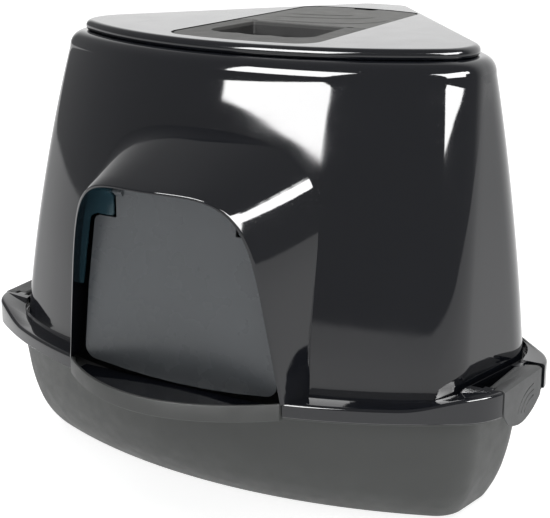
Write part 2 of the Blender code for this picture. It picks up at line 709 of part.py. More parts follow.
def build_lid_pin():
    """The steel pin of the lid hinge."""
    pin = rod("lid_hinge_pin", LID_PIN_R, (-0.0660, LID_AXIS_Y, LID_AXIS_Z),
              (0.0660, LID_AXIS_Y, LID_AXIS_Z), 12,
              material("lid_pin_steel", (0.35, 0.35, 0.36), 0.35, 1.0))
    return finish(pin)


def build_filter():
    """The carbon filter pad in the basket."""
    pad = prism("carbon_filter", grown(panel_outline(), -0.0085), "Z", BASKET_FLOOR + 0.0023, 0.4040)
    trim(pad, clip_box("pad_part", SEAM_Y + 0.0048, 0.2))
    pad.data.materials.clear()
    pad.data.materials.append(material("filter_foam", (0.020, 0.020, 0.020), 0.95))
    return finish(pad)


# ---------------------------------------------------------------- scene
def clear_scene():
    for obj in list(bpy.data.objects):
        bpy.data.objects.remove(obj, do_unlink=True)


def main():
    clear_scene()
    build_tray()
    build_hood()
    build_flap()
    latch = build_latch()
    other = mirrored(latch, "latch_left")
    set_origin(latch, (PIVOT_X, BARREL_FRONT, PIVOT_Z))
    set_origin(other, (-PIVOT_X, BARREL_FRONT, PIVOT_Z))
    build_latch_pin("latch_pin_right", 1)
    build_latch_pin("latch_pin_left", -1)
    build_top_cover()
    build_handle_frame()
    build_filter_lid()
    build_lid_pin()
    build_filter()


main()
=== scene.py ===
"""The looks of a hooded corner cat litter box: fine meshes, materials, lights and camera.

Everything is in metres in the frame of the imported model: the door faces -Y and +Z is up.
"""
import math
from collections import namedtuple

import bmesh
import bpy
from mathutils import Matrix, Vector


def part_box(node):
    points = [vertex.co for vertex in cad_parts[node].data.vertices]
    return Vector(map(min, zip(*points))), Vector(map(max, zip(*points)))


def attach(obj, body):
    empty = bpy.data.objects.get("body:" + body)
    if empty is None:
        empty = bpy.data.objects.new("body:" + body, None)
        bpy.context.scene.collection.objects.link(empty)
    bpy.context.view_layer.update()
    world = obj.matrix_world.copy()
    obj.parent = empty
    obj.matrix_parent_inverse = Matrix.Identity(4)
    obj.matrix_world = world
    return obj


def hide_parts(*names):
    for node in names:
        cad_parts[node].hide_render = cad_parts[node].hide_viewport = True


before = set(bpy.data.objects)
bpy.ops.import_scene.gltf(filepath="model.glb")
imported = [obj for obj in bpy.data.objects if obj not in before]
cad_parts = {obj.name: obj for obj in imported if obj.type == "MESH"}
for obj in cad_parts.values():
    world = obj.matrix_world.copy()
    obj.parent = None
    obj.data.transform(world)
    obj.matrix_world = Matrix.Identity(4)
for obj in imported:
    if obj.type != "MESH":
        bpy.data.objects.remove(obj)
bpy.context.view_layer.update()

# ---------------------------------------------------------------- sizes
FLANGE_Z = 0.130            # top of the hood's flange at the front
HORN_RISE = 0.010           # how much higher the flange is beside and behind the latches
TRAY_WALL = 0.0028
WALL = 0.0024               # hood wall
FIT = 0.0003
HOOD_BASE_Z = 0.134
DOOR_HALF = 0.1155          # outer half width of the porch at its feet
SKIRT_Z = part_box("hood_shell")[0].z
DECK_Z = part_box("hood_shell")[1].z
TOP_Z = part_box("top_cover")[1].z
GUTTER_Z = 0.1298           # bottom of the groove between flange and hood wall
SHELF_Z = 0.1145            # underside of the tray's rim shelf
THRESHOLD_REACH = 0.0495    # how far the doorstep bulges past the porch feet
STEP_HALF = 0.1120          # half width of the doorstep
PORCH_REACH = 0.037         # how far the porch's front edge bulges past its feet
PORCH_FOOT_Y = -0.1985
CREASE_Y = -0.142           # where the porch runs into the hood's front wall

# The porch is an arch of changing shape: half width at the feet, height, how much it narrows per
# metre of height, and how square its sides and its top are.
Arch = namedtuple("Arch", "half height taper side_bend top_bend")

LIP_ARCH = Arch(0.1148, 0.1800, 0.1527, 7.50, 4.15)
CREASE_ARCH = Arch(0.1325, 0.2192, 0.0777, 7.69, 2.29)

HINGE_Y = -0.1885           # flap hinge line, and the flap's own plane
HINGE_Z = 0.2915
FLAP_THICK = 0.0020
TAB_HALF = 0.0625
SHOULDER_Z = 0.2675
EAR_X = 0.0655              # inner edge of the ears that carry the flap
PEG_R = 0.0020
NOTCH_FRONT = -0.1020       # the gap in the flange that holds a latch
NOTCH_REAR = -0.0200
NOTCH_X = 0.2445
LATCH_FRONT = -0.1005
LATCH_REAR = -0.0275
PIVOT_X = 0.2604            # latch pin
PIVOT_Z = 0.1350
PIN_R = 0.0016
BARREL_R = 0.0036
BARREL_FRONT = -0.0925
BARREL_REAR = -0.0355
PIN_FRONT = -0.0995
PIN_REAR = -0.0285
PANEL_GAP = 0.0020          # gap round the handle and lid panel in the top cover
PANEL_TOP = 0.4186
SEAM_Y = 0.0272             # seam between handle and lid
SEAT_Z = 0.4145             # ledge in the top cover that the panel rests on
LID_AXIS_Y = 0.0300
LID_AXIS_Z = 0.4162
LID_BARREL_R = 0.0024
LID_PIN_R = 0.0009
LID_FLOOR = 0.4158          # underside of the lid
KNUCKLE_X = 0.050           # the two knuckles of the lid hinge that belong to the handle frame
KNUCKLE_WIDE = 0.006
BASKET_FLOOR = 0.3920
BASKET_TOP = 0.4130
SLOT_ROWS = 7               # slots in the basket's floor
SLOT_START = 0.046
SLOT_PITCH = 0.016
SLOT_WIDE = 0.005

# A plan is one horizontal outline. The front is an arc of radius bend whose apex is at y = front.
# It meets the side line at x = side, the side line runs back to (wide, back), and the rear wall
# runs from there to (heel, rear). turn_a, turn_b and turn_c are the reaches of the rounded corners.
Plan = namedtuple("Plan", "front bend side wide back heel rear turn_a turn_b turn_c")

FLANGE = Plan(-0.213, 0.438, 0.2744, 0.2827, -0.005, 0.030, 0.2477, 0.026, 0.022, 0.014)
BASE = Plan(-0.187, 0.438, 0.2365, 0.2585, 0.006, 0.030, 0.2350, 0.022, 0.032, 0.014)
COVER = Plan(-0.117, 0.3348, 0.2041, 0.2071, -0.0116, 0.0235, 0.2185, 0.018, 0.018, 0.010)
TRAY_TOP = Plan(-0.191, 0.438, 0.2510, 0.2600, -0.008, 0.026, 0.2260, 0.024, 0.024, 0.014)
TRAY_FOOT = Plan(-0.130, 0.550, 0.2215, 0.2315, -0.0175, 0.019, 0.1950, 0.016, 0.020, 0.010)
SHOULDER = 0.012            # how far the hood's shoulder stands outside the top cover
TRAY_RISE = ((0.0040, 0.10), (0.0100, 0.22), (0.0200, 0.39), (0.0350, 0.575), (0.0600, 0.77),
             (0.0900, 0.90), (SHELF_Z, 1.0))
HOOD_RISE = ((HOOD_BASE_Z, 0.0), (0.170, 0.085), (0.210, 0.195), (0.250, 0.325), (0.290, 0.47),
             (0.330, 0.63), (0.365, 0.785), (0.392, 0.915))

# Numbers of points along the stretches of an outline, from the front to the rear.
STEP_POINTS = 20
FRONT_POINTS = 22
TURN_STEPS = 14
SIDE_POINTS = 6
REAR_POINTS = 12
HEEL_STEPS = 8
ROD_SIDES = 32


# ---------------------------------------------------------------- outline helpers
def arc_y(plan, x):
    """Y of the front arc at x."""
    return plan.front + plan.bend - math.sqrt(plan.bend ** 2 - x * x)


def corner_points(plan):
    """The three sharp corners of the right half: side, wide and heel."""
    return (Vector((plan.side, arc_y(plan, plan.side))),
            Vector((plan.wide, plan.back)),
            Vector((plan.heel, plan.rear)))


def offset_corner(point, before, after, distance):
    """Move a corner inward by distance, between two unit directions of travel."""
    normal_in = Vector((-before.y, before.x))
    normal_out = Vector((-after.y, after.x))
    bisector = (normal_in + normal_out).normalized()
    return point + bisector * (distance / bisector.dot(normal_in))


def inset(plan, distance):
    """The same outline, everywhere moved inward by distance."""
    side, wide, heel = corner_points(plan)
    bend = plan.bend - distance
    edge = (wide - side).normalized()
    wall = (heel - wide).normalized()
    back = Vector((-1.0, 0.0))
    angle = math.asin(plan.side / plan.bend)
    front = Vector((math.cos(angle), math.sin(angle)))
    new_side = offset_corner(side, front, edge, distance)
    new_wide = offset_corner(wide, edge, wall, distance)
    new_heel = offset_corner(heel, wall, back, distance)
    shrink = [reach - distance * math.tan(0.5 * a.angle(b)) for reach, a, b in
              ((plan.turn_a, front, edge), (plan.turn_b, edge, wall), (plan.turn_c, wall, back))]
    shrink = [max(reach, 0.002) for reach in shrink]
    return Plan(plan.front + distance, bend, new_side.x, new_wide.x, new_wide.y,
                new_heel.x, new_heel.y, *shrink)


def blend(low, high, share):
    """A plan part of the way from low to high."""
    return Plan(*[a + (b - a) * share for a, b in zip(low, high)])


def bend_points(start, start_dir, end, end_dir, steps):
    """A smooth turn from start to end, leaving out its first point."""
    angle = start_dir.angle(end_dir)
    handle = (end - start).length * (2.0 / 3.0) * math.tan(angle / 4.0) / math.sin(angle / 2.0)
    first = start + start_dir * handle
    second = end - end_dir * handle
    points = []
    for step in range(1, steps + 1):
        t = step / steps
        points.append(start * (1 - t) ** 3 + first * (3 * t * (1 - t) ** 2)
                      + second * (3 * t * t * (1 - t)) + end * t ** 3)
    return points


def half_outline(plan):
    """Points of the right half, from the front apex round to the middle of the rear."""
    side, wide, heel = corner_points(plan)
    end_angle = math.asin(plan.side / plan.bend) - plan.turn_a / plan.bend
    marks = [STEP_HALF * k / STEP_POINTS for k in range(STEP_POINTS + 1)] + [STEP_HALF + 0.0004]
    angles = [math.asin(x / plan.bend) for x in marks]
    last = angles[-1]
    angles += [last + (end_angle - last) * k / FRONT_POINTS for k in range(1, FRONT_POINTS + 1)]
    points = [Vector((plan.bend * math.sin(a), plan.front + plan.bend * (1 - math.cos(a))))
              for a in angles]
    edge = (wide - side).normalized()
    wall = (heel - wide).normalized()
    back = Vector((-1.0, 0.0))
    leaving = Vector((math.cos(end_angle), math.sin(end_angle)))
    points += bend_points(points[-1], leaving, side + edge * plan.turn_a, edge, TURN_STEPS)
    points += straight(points[-1], wide - edge * plan.turn_b, SIDE_POINTS)
    points += bend_points(points[-1], edge, wide + wall * plan.turn_b, wall, TURN_STEPS)
    points += straight(points[-1], heel - wall * plan.turn_c, REAR_POINTS)
    points += bend_points(points[-1], wall, heel + back * plan.turn_c, back, HEEL_STEPS)
    points += straight(points[-1], Vector((0.0, plan.rear)), 2)
    return points


def straight(start, end, steps):
    """Evenly spaced points from start to end, leaving out the first."""
    return [start.lerp(end, k / steps) for k in range(1, steps + 1)]


def outline(plan):
    """The closed outline, counterclockwise from the front apex."""
    right = half_outline(plan)
    left = [Vector((-p.x, p.y)) for p in reversed(right[1:-1])]
    return right + left


def ring(plan, z):
    """An outline at height z, which is a number or a function of the point."""
    height = z if callable(z) else (lambda point: z)
    return [(p.x, p.y, height(p)) for p in outline(plan)]


# ---------------------------------------------------------------- mesh helpers
def make_object(name, bm):
    """Turn a bmesh into an object with its faces pointing out."""
    bmesh.ops.recalc_face_normals(bm, faces=bm.faces)
    mesh = bpy.data.meshes.new(name)
    bm.to_mesh(mesh)
    bm.free()
    obj = bpy.data.objects.new(name, mesh)
    bpy.context.scene.collection.objects.link(obj)
    return obj


def loft(name, rings):
    """Join rings of equal length into a skin that is capped at both ends."""
    bm = bmesh.new()
    rows = [[bm.verts.new(co) for co in points] for points in rings]
    count = len(rows[0])
    for low, high in zip(rows, rows[1:]):
        for i in range(count):
            j = (i + 1) % count
            bm.faces.new((low[i], low[j], high[j], high[i]))
    bm.faces.new(list(reversed(rows[0])))
    bm.faces.new(rows[-1])
    bmesh.ops.connect_verts_nonplanar(bm, faces=bm.faces, angle_limit=0.0002)
    return make_object(name, bm)


def prism(name, points, normal, start, end):
    """Extrude a flat outline along X, Y or Z, from start to end."""
    place = {"X": lambda a, b, c: (c, a, b), "Y": lambda a, b, c: (a, c, b),
             "Z": lambda a, b, c: (a, b, c)}[normal]
    rings = [[place(a, b, level) for a, b in points] for level in (start, end)]
    return loft(name, rings)


def rod(name, radius, start, end):
    """A round bar between two points."""
    start = Vector(start)
    end = Vector(end)
    bm = bmesh.new()
    bmesh.ops.create_cone(bm, cap_ends=True, segments=ROD_SIDES, radius1=radius,
                          radius2=radius, depth=(end - start).length)
    turn = Vector((0, 0, 1)).rotation_difference(end - start).to_matrix().to_4x4()
    bm.transform(Matrix.Translation((start + end) / 2) @ turn)
    return make_object(name, bm)


def combine(target, other, operation):
    """Apply an exact boolean to target and drop the other object."""
    mod = target.modifiers.new(operation.title(), "BOOLEAN")
    mod.operation = operation
    mod.solver = "EXACT"
    mod.object = other
    bpy.context.view_layer.update()
    graph = bpy.context.evaluated_depsgraph_get()
    mesh = bpy.data.meshes.new_from_object(target.evaluated_get(graph))
    target.modifiers.clear()
    target.data = mesh
    bpy.data.objects.remove(other)
    return target


def union(target, other):
    return combine(target, other, "UNION")


def cut(target, other):
    return combine(target, other, "DIFFERENCE")


def trim(target, other):
    return combine(target, other, "INTERSECT")


def smooth(obj, angle=38.0):
    """Merge slivers, smooth the round faces and keep the sharp edges."""
    bm = bmesh.new()
    bm.from_mesh(obj.data)
    bmesh.ops.remove_doubles(bm, verts=bm.verts, dist=0.00002)
    bmesh.ops.dissolve_degenerate(bm, dist=0.00001, edges=bm.edges)
    bm.to_mesh(obj.data)
    bm.free()
    obj.data.shade_smooth()
    obj.data.set_sharp_from_angle(angle=math.radians(angle))
    return obj


def soften(obj, width, segments=3, angle=35.0):
    """Round the edges of an object."""
    mod = obj.modifiers.new("Round", "BEVEL")
    mod.width = width
    mod.segments = segments
    mod.limit_method = "ANGLE"
    mod.angle_limit = math.radians(angle)
    mod.harden_normals = True
    return smooth(obj)


def dress(obj, mat, body, slot, *nodes):
    """Give a piece its material and its body, and hide the imported parts that it stands for. slot is not
    used.
    """
    obj.data.materials.clear()
    obj.data.materials.append(mat)
    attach(obj, body)
    if nodes:
        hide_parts(*nodes)
    return obj


def mirrored(obj, name):
    """A copy of obj on the other side of X = 0."""
    bm = bmesh.new()
    bm.from_mesh(obj.data)
    bm.transform(Matrix.Scale(-1.0, 4, (1.0, 0.0, 0.0)))
    return make_object(name, bm)


def curved(table, place):
    """The smooth value of a (place, value) table at a place."""
    last = len(table) - 1
    i = 0
    while i < last - 1 and place > table[i + 1][0]:
        i += 1
    low, high = table[i], table[i + 1]
    before = table[max(i - 1, 0)]
    after = table[min(i + 2, last)]
    span = high[0] - low[0]
    t = (place - low[0]) / span
    rise_low = (high[1] - before[1]) / (high[0] - before[0]) * span
    rise_high = (after[1] - low[1]) / (after[0] - low[0]) * span
    return ((2 * t ** 3 - 3 * t * t + 1) * low[1] + (t ** 3 - 2 * t * t + t) * rise_low
            + (3 * t * t - 2 * t ** 3) * high[1] + (t ** 3 - t * t) * rise_high)


def flange_top(point):
    """The flange is flat at the front and steps up smoothly towards the latches."""
    share = min(max((abs(point.x) - 0.205) / 0.060, 0.0), 1.0)
    if point.y > -0.11:
        share = 1.0
    return FLANGE_Z + HORN_RISE * share * share * (3 - 2 * share)


def hood_plan(z):
    """The hood's outer outline at height z."""
    return blend(BASE, inset(COVER, -SHOULDER), curved(HOOD_RISE, z))


def doorstep(points, reach_in, height_in=None):
    """Push the front of a ring out to the bulging doorstep, less reach_in."""
    out = []
    for x, y, z in points:
        if y < 0 and abs(x) < STEP_HALF + 0.0002:
            bulge = THRESHOLD_REACH * (1 - (x / DOOR_HALF) ** 2)
            y = min(PORCH_FOOT_Y - bulge + reach_in, y)
            if height_in is not None:
                z = height_in
        out.append((x, y, z))
    return out


def arch_profile(arch, inner, steps=48):
    """Right-to-left (x, z) points of a rounded arch, standing on the flange."""
    points = []
    for k in range(-steps, steps + 1):
        share = abs(k) / steps
        angle = math.pi / 2 * (1 - share) ** 1.7
        z = (arch.height - inner) * abs(math.sin(angle)) ** (2.0 / arch.side_bend)
        x = (arch.half - inner - arch.taper * z) * abs(math.cos(angle)) ** (2.0 / arch.top_bend)
        points.append((math.copysign(x, -k) if k else 0.0, FLANGE_Z + z))
    return points


def arch_rings(inner, front_extra, rear_y, steps=20):
    """Arches that follow the porch surface from its lip backwards. inner shrinks them."""
    front = arch_profile(LIP_ARCH, inner)
    rear = arch_profile(CREASE_ARCH, inner)
    rings = [[] for _ in range(steps + 1)]
    for (fx, fz), (rx, rz) in zip(front, rear):
        lip_y = PORCH_FOOT_Y - PORCH_REACH * max(0.0, 1 - (fx / DOOR_HALF) ** 2)
        first_y = lip_y - front_extra
        for k, points in enumerate(rings):
            y = first_y + (rear_y - first_y) * k / steps
            share = (y - lip_y) / (CREASE_Y - lip_y)
            points.append((fx + (rx - fx) * share, y, fz + (rz - fz) * share))
    return rings


def arch_solid(name, inner, front_extra, rear_y, foot_z):
    """The space under the porch surface as one solid. Its front is flat round the rim."""
    rings = arch_rings(inner, front_extra, rear_y)
    rings.insert(0, arch_rings(inner + 2.5 * WALL, front_extra, rear_y)[0])
    for points in rings:
        points.insert(0, (points[0][0], points[0][1], foot_z))
        points.append((points[-1][0], points[-1][1], foot_z))
    return loft(name, rings)


# ---------------------------------------------------------------- materials
def nodes_of(name):
    """A new material, its node tree and its shader."""
    mat = bpy.data.materials.new(name)
    mat.use_nodes = True
    tree = mat.node_tree
    return mat, tree, tree.nodes["Principled BSDF"]


def noise(tree, scale, detail=3.0, stretch=(1.0, 1.0, 1.0)):
    """A noise pattern in metres: scale is the number of waves in one metre."""
    place = tree.nodes.new("ShaderNodeTexCoord")
    mapping = tree.nodes.new("ShaderNodeMapping")
    mapping.inputs["Scale"].default_value = stretch
    texture = tree.nodes.new("ShaderNodeTexNoise")
    texture.inputs["Scale"].default_value = scale
    texture.inputs["Detail"].default_value = detail
    tree.links.new(place.outputs["Object"], mapping.inputs["Vector"])
    tree.links.new(mapping.outputs["Vector"], texture.inputs["Vector"])
    return texture.outputs["Fac"]


def spread(tree, value, low_in, high_in, low_out, high_out):
    """Remap a value from one range to another."""
    node = tree.nodes.new("ShaderNodeMapRange")
    for socket, number in zip(("From Min", "From Max", "To Min", "To Max"),
                              (low_in, high_in, low_out, high_out)):
        node.inputs[socket].default_value = number
    tree.links.new(value, node.inputs["Value"])
    return node.outputs["Result"]


def between(tree, value, dark, light):
    """A colour between dark and light."""
    node = tree.nodes.new("ShaderNodeMix")
    node.data_type = "RGBA"
    node.inputs["A"].default_value = (*dark, 1.0)
    node.inputs["B"].default_value = (*light, 1.0)
    tree.links.new(value, node.inputs["Factor"])
    return node.outputs["Result"]


def bumps(tree, shader, layers):
    """Stack bump layers of (height, strength, depth) on a shader."""
    normal = None
    for height, strength, depth in layers:
        bump = tree.nodes.new("ShaderNodeBump")
        bump.inputs["Strength"].default_value = strength
        bump.inputs["Distance"].default_value = depth
        tree.links.new(height, bump.inputs["Height"])
        if normal:
            tree.links.new(normal, bump.inputs["Normal"])
        normal = bump.outputs["Normal"]
    tree.links.new(normal, shader.inputs["Normal"])


def gloss_plastic(name, dark, light, low, high, coat=0.0):
    """Polished moulded plastic: slow waves in the skin, faint haze and sparse dust."""
    mat, tree, shader = nodes_of(name)
    tree.links.new(between(tree, noise(tree, 9.0), dark, light), shader.inputs["Base Color"])
    haze = spread(tree, noise(tree, 26.0, 5.0), 0.35, 0.70, low, high)
    dust = spread(tree, noise(tree, 900.0, 1.0), 0.70, 0.80, 0.0, 0.25)
    total = tree.nodes.new("ShaderNodeMath")
    total.operation = "ADD"
    tree.links.new(haze, total.inputs[0])
    tree.links.new(dust, total.inputs[1])
    tree.links.new(total.outputs["Value"], shader.inputs["Roughness"])
    shader.inputs["IOR"].default_value = 1.52
    shader.inputs["Coat Weight"].default_value = coat
    shader.inputs["Coat Roughness"].default_value = 0.05
    bumps(tree, shader, [(noise(tree, 14.0, 1.0), 0.25, 0.0010),
                         (noise(tree, 1400.0, 2.0), 0.04, 0.0001)])
    return mat


def matte_plastic(name, dark, light, roughness, grain=1900.0, depth=0.00022):
    """Spark-eroded matte plastic: an even fine grain, slight colour change and rubbed spots."""
    mat, tree, shader = nodes_of(name)
    tree.links.new(between(tree, noise(tree, 30.0, 4.0), dark, light), shader.inputs["Base Color"])
    tree.links.new(spread(tree, noise(tree, 60.0, 4.0), 0.3, 0.7, roughness - 0.06, roughness + 0.06),
                   shader.inputs["Roughness"])
    shader.inputs["IOR"].default_value = 1.46
    bumps(tree, shader, [(noise(tree, grain, 3.0), 0.55, depth),
                         (noise(tree, 20.0, 1.0), 0.10, 0.0010)])
    return mat


def smoky_plastic(name, dark, light, roughness, through, tint):
    """See-through plastic sheet with a slight haze. through is how much light passes."""
    mat, tree, shader = nodes_of(name)
    tree.links.new(between(tree, noise(tree, 18.0), dark, light), shader.inputs["Base Color"])
    tree.links.new(spread(tree, noise(tree, 40.0, 4.0), 0.3, 0.7, roughness, roughness + 0.08),
                   shader.inputs["Roughness"])
    shader.inputs["IOR"].default_value = 1.45
    shader.inputs["Alpha"].default_value = 1.0 - through
    shader.inputs["Specular Tint"].default_value = (*tint, 1.0)
    bumps(tree, shader, [(noise(tree, 10.0, 1.0), 0.20, 0.0010),
                         (noise(tree, 1500.0, 2.0), 0.05, 0.0001)])
    return mat


def drawn_wire(name):
    """Bright steel wire with fine lengthwise scratches."""
    mat, tree, shader = nodes_of(name)
    streaks = noise(tree, 300.0, 4.0, (6.0, 0.4, 6.0))
    tree.links.new(between(tree, streaks, (0.33, 0.33, 0.34), (0.52, 0.52, 0.53)),
                   shader.inputs["Base Color"])
    tree.links.new(spread(tree, streaks, 0.3, 0.7, 0.22, 0.40), shader.inputs["Roughness"])
    shader.inputs["Metallic"].default_value = 1.0
    bumps(tree, shader, [(streaks, 0.3, 0.0001)])
    return mat


def carbon_foam(name):
    """Open black foam: cells of two sizes."""
    mat, tree, shader = nodes_of(name)
    place = tree.nodes.new("ShaderNodeTexCoord")
    cells = tree.nodes.new("ShaderNodeTexVoronoi")
    cells.inputs["Scale"].default_value = 420.0
    tree.links.new(place.outputs["Object"], cells.inputs["Vector"])
    # The colour is darkest in the middle of each cell, where the bump is lowest: painted shade in the
    # pores.
    tree.links.new(between(tree, cells.outputs["Distance"], (0.004, 0.004, 0.004),
                           (0.045, 0.045, 0.046)), shader.inputs["Base Color"])
    tree.links.new(spread(tree, noise(tree, 500.0), 0.3, 0.7, 0.80, 0.98), shader.inputs["Roughness"])
    bumps(tree, shader, [(cells.outputs["Distance"], 0.9, 0.0012), (noise(tree, 1800.0), 0.5, 0.0004)])
    return mat


HOOD_MAT = gloss_plastic("gloss_black", (0.0065, 0.0075, 0.0105), (0.0090, 0.0100, 0.0135), 0.035, 0.07)
COVER_MAT = gloss_plastic("gloss_black_cover", (0.0065, 0.0075, 0.0105), (0.0090, 0.0100, 0.0135),
                          0.09, 0.15)
TRAY_MAT = matte_plastic("tray_grey", (0.036, 0.038, 0.037), (0.046, 0.049, 0.047), 0.52)
# Near-black copy of the handle plastic for the lip and basket: painted shade inside the grip opening.
BASKET_SHADE_MAT = matte_plastic("basket_painted_shade", (0.010, 0.010, 0.010), (0.016, 0.016, 0.016), 0.50)
HANDLE_MAT = matte_plastic("handle_grey", (0.056, 0.056, 0.053), (0.072, 0.072, 0.068), 0.66, 1500.0)
LID_MAT = matte_plastic("lid_grey", (0.086, 0.086, 0.081), (0.106, 0.106, 0.100), 0.62, 1500.0)
LATCH_MAT = matte_plastic("latch_grey", (0.044, 0.046, 0.047), (0.058, 0.060, 0.061), 0.48, 2200.0)
FLAP_MAT = smoky_plastic("smoky_sheet", (0.088, 0.096, 0.104), (0.102, 0.111, 0.120), 0.24, 0.10,
                         (1.0, 1.0, 1.0))
EAR_MAT = smoky_plastic("teal_sheet", (0.020, 0.052, 0.070), (0.028, 0.066, 0.088), 0.10, 0.25,
                        (0.85, 1.0, 1.0))
PIN_MAT = drawn_wire("drawn_wire")
FOAM_MAT = carbon_foam("carbon_foam")


# ---------------------------------------------------------------- hood
def hood_outside():
    """The outside of the hood as one solid, with every edge rounded."""
    def gutter(extra):
        return lambda p: min(flange_top(p), GUTTER_Z + extra)

    rings = [ring(inset(FLANGE, 0.0006), SKIRT_Z), ring(FLANGE, SKIRT_Z + 0.0006)]
    rings += [ring(FLANGE, lambda p, k=k: SKIRT_Z + 0.0006 + (flange_top(p) - 0.0034 - SKIRT_Z) * k / 4)
              for k in range(1, 4)]
    for k in range(9):
        turn = math.pi / 2 * k / 8
        rings.append(ring(inset(FLANGE, 0.0030 * (1 - math.cos(turn))),
                          lambda p, t=turn: flange_top(p) - 0.0028 * (1 - math.sin(t))))
    ledge = inset(BASE, -0.0060)
    rings += [ring(inset(FLANGE, 0.0045), flange_top), ring(ledge, flange_top),
              ring(inset(BASE, -0.0042), lambda p: flange_top(p) - 0.0004),
              ring(inset(BASE, -0.0036), gutter(0.0010)), ring(inset(BASE, -0.0030), gutter(0.0005)),
              ring(inset(BASE, -0.0010), GUTTER_Z + 0.0012)]
    low, high = HOOD_BASE_Z, 0.3940
    steps = 46
    rings += [ring(hood_plan(low + (high - low) * k / steps), low + (high - low) * k / steps)
              for k in range(steps + 1)]
    edge = inset(COVER, -SHOULDER)
    start = hood_plan(high)
    for k in range(1, 13):
        turn = math.pi / 2 * k / 12
        outline_now = blend(start, inset(edge, 0.0105), 1 - math.cos(turn))
        rings.append(ring(outline_now, high + (DECK_Z - high) * math.sin(turn)))
    rings.append(ring(inset(COVER, 0.0065), DECK_Z))
    return loft("hood_body", rings)


def hood_inside():
    """The hollow of the hood, from below the skirt up through the opening under the cover."""
    def soffit(point):
        return flange_top(point) - WALL

    rings = [ring(inset(FLANGE, WALL), 0.100),
             ring(inset(FLANGE, WALL), soffit),
             ring(inset(BASE, -0.0064), soffit),
             ring(inset(BASE, -0.0050), GUTTER_Z - 0.0023)]
    low, high = HOOD_BASE_Z, 0.3920
    steps = 23
    rings += [ring(inset(hood_plan(low + (high - low) * k / steps), WALL),
                   low + (high - low) * k / steps) for k in range(steps + 1)]
    edge = inset(COVER, -SHOULDER)
    opening = inset(COVER, 0.0065)
    rings += [ring(inset(edge, 0.0018 + WALL), 0.4000), ring(inset(edge, 0.0095), DECK_Z - WALL),
              ring(opening, DECK_Z - WALL), ring(opening, DECK_Z + 0.010)]
    return loft("hollow", rings)


def porch_solid():
    """The porch with a rounded outer lip."""
    rings = [arch_rings(2.5 * WALL, 0.0, -0.100)[0]]
    rings.append(arch_rings(0.0009, 0.0, -0.100)[0])
    rings.append([(x, y + 0.0003, z) for x, y, z in arch_rings(0.0003, 0.0, -0.100)[0]])
    body = arch_rings(0.0, 0.0, -0.100)
    body[0] = [(x, y + 0.0009, z) for x, y, z in body[0]]
    rings += body
    foot_z = FLANGE_Z - 0.0012
    for points in rings:
        points.insert(0, (points[0][0], points[0][1], foot_z))
        points.append((points[-1][0], points[-1][1], foot_z))
    return loft("porch", rings)


def lug(sign, front, rear):
    """One of the two small blocks that hold a latch pin, at an end of the notch."""
    points = [(PIVOT_X - 0.0060, 0.1290), (PIVOT_X + 0.0036, 0.1290),
              (PIVOT_X + 0.0036, PIVOT_Z + 0.0016), (PIVOT_X + 0.0018, PIVOT_Z + 0.0034),
              (PIVOT_X - 0.0060, PIVOT_Z + 0.0034)]
    return prism("lug", [(sign * x, z) for x, z in points], "Y", front, rear)


def build_hood():
    """The hood as one shell, cut like the real moulding."""
    hood = hood_outside()
    union(hood, porch_solid())
    space = hood_inside()
    union(space, arch_solid("doorway", WALL, 0.030, -0.090, 0.090))
    for sign in (-1, 1):
        notch = [(sign * NOTCH_X, NOTCH_FRONT), (sign * 0.300, NOTCH_FRONT),
                 (sign * 0.300, NOTCH_REAR), (sign * (NOTCH_X + 0.014), NOTCH_REAR)]
        union(space, prism("notch", notch, "Z", 0.105, 0.150))
        cut(space, lug(sign, NOTCH_FRONT - 0.0015, BARREL_FRONT - 0.0010))
        cut(space, lug(sign, BARREL_REAR + 0.0010, NOTCH_REAR + 0.0015))
        union(space, rod("pin_hole", PIN_R + FIT, (sign * PIVOT_X, PIN_FRONT - FIT, PIVOT_Z),
                         (sign * PIVOT_X, PIN_REAR + FIT, PIVOT_Z)))
    cut(hood, space)
    smooth(hood, 34.0)
    dress(hood, HOOD_MAT, "hood", "hood_plastic", "hood_shell")


def build_ears():
    """The two see-through brackets that carry the flap."""
    strip = 0.0135
    corners = [(EAR_X, 0.345, 0), (EAR_X, SHOULDER_Z + 0.0015, 0.0020),
               (0.0835, SHOULDER_Z + 0.0015, 0), (0.0925, SHOULDER_Z - 0.0010, 0.0060),
               (0.1150 - strip + 0.0020, 0.200, 0), (0.1400, 0.200, 0), (0.1400, 0.345, 0)]
    outline_points = rounded(corners, 6)
    for sign, name in ((1, "ear_right"), (-1, "ear_left")):
        plate = prism(name, [(sign * p.x, p.y) for p in outline_points], "Y",
                      HINGE_Y - 0.0010, HINGE_Y + 0.0010)
        trim(plate, arch_solid("limit", 0.5 * WALL, 0.0, -0.150, FLANGE_Z))
        union(plate, rod("boss", 0.0048, (sign * EAR_X, HINGE_Y, HINGE_Z),
                         (sign * (EAR_X + 0.010), HINGE_Y, HINGE_Z)))
        soften(plate, 0.0004, 2)
        dress(plate, EAR_MAT, "hood", "flap_plastic", "hood_shell")


def build_shade_plate():
    """A thin gloss black plate on the hood, lying behind the doorstep at the door's foot: painted shade
    that makes the doorstep recess dark.
    """
    front = [Vector((x, y + 0.0034)) for x, y, _ in doorstep(ring(FLANGE, 0.0), 0.0)
             if y < 0 and abs(x) < STEP_HALF - 0.0035]
    front.sort(key=lambda p: p.x)
    back_y = TRAY_TOP.front + TRAY_WALL + 0.0030
    corners = front + [Vector((front[-1].x, back_y)), Vector((front[0].x, back_y))]
    # A dark plate on the floor of the doorstep recess: painted shade.
    shade_plate = prism("door_shade_plate", corners, "Z", SHELF_Z + 0.0029, SHELF_Z + 0.0050)
    soften(shade_plate, 0.0006, 3)
    dress(shade_plate, HOOD_MAT, "hood", "hood_plastic")


